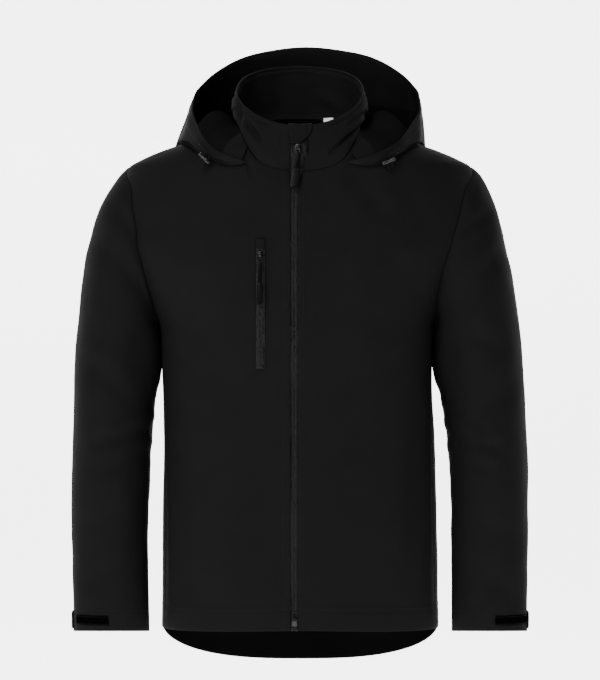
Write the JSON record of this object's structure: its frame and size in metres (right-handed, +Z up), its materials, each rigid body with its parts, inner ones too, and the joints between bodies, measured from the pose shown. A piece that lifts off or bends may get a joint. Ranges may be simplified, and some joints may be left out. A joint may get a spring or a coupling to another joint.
{
  "type": "hooded softshell jacket",
  "caption": "Men's dark softshell jacket with a hood worn down, a stand collar, a front zip, a chest zip pocket and cuff tabs, hollow in its worn shape.",
  "frame": {"origin": "the middle of the neck opening, level with the top of the shoulders", "axes": "+Z up from the hem to the hood, -Y out of the front, +X towards the wearer's left sleeve"},
  "size_m": [0.6544, 0.3022, 0.908],
  "materials": {
    "softshell": "matte",
    "zip_tape": "matte",
    "zip_metal": "satin",
    "grip": "satin",
    "cord": "matte",
    "loop_patch": "matte",
    "label": "matte"
  },
  "bodies": {
    "jacket": {"front_right": "softshell", "front_left": "softshell", "back": "softshell", "sleeve_right": "softshell", "sleeve_left": "softshell", "collar": "softshell", "hood": "softshell", "chin_guard": "softshell", "chest_zip_garage": "softshell", "cuff_tab_right": "softshell", "cuff_tab_left": "softshell", "front_zip": "zip_tape", "chest_zip": "zip_tape", "front_zip_slider": "zip_metal", "front_zip_stop": "zip_metal", "chest_zip_slider": "zip_metal", "hood_eyelet_right": "zip_metal", "hood_eyelet_left": "zip_metal", "hood_lock_right": "grip", "hood_lock_left": "grip", "hood_cord_right_1_top": "cord", "hood_cord_right_1_end": "cord", "hood_cord_right_2_top": "cord", "hood_cord_right_2_end": "cord", "hood_cord_left_1_top": "cord", "hood_cord_left_1_end": "cord", "hood_cord_left_2_top": "cord", "hood_cord_left_2_end": "cord", "cuff_patch_right": "loop_patch", "cuff_patch_left": "loop_patch", "neck_label": "label"},
    "front_zip_pull": {"front_zip_pull": "grip"},
    "chest_zip_pull": {"chest_zip_pull": "grip"}
  },
  "joints": [
    {"name": "front_pull_swing", "type": "hinge", "parent": "jacket", "child": "front_zip_pull", "pos_m": [-0.00286, -0.10076, -0.04671], "axis": [-1, 0, 0], "range_deg": [0, 150]},
    {"name": "chest_pull_swing", "type": "hinge", "parent": "jacket", "child": "chest_zip_pull", "pos_m": [-0.05554, -0.13035, -0.1982], "axis": [-0.9969, 0.079, 0], "range_deg": [0, 150]}
  ]
}
